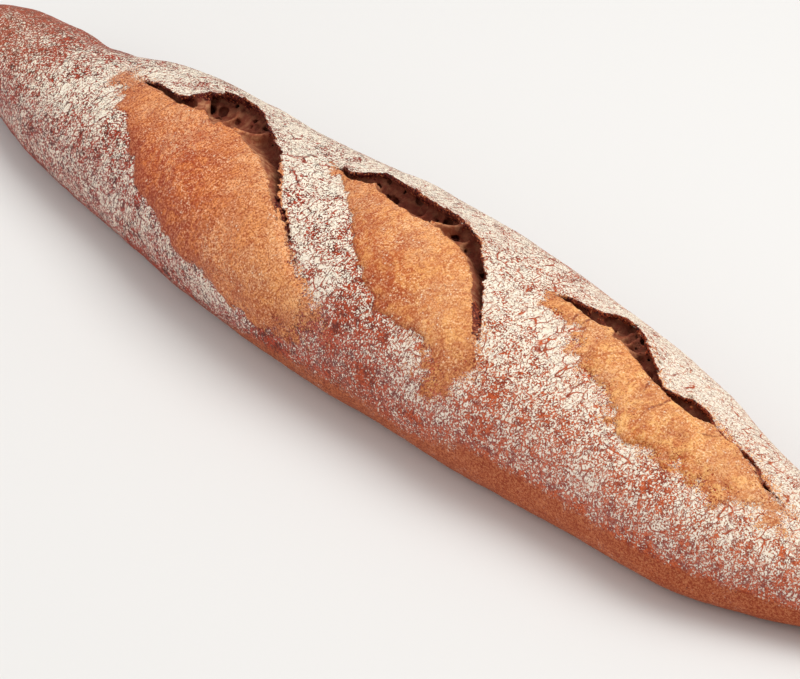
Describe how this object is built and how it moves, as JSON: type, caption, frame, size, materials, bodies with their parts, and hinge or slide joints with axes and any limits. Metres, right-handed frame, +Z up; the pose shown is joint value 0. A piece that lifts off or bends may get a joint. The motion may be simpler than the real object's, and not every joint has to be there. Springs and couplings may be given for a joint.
{
  "type": "baguette",
  "caption": "Long rustic loaf of bread with a floured crust, slashed open along the top, lying flat on its bottom crust.",
  "frame": {"origin": "on the surface the loaf lies on, under the middle of the loaf's bounding box", "axes": "+X along the loaf towards its narrower end, +Z up, -Y the side that the bare bulges run down"},
  "size_m": [0.47, 0.0844, 0.0564],
  "materials": {
    "crust": "matte"
  },
  "bodies": {
    "root": {"baguette": "crust"}
  },
  "joints": []
}
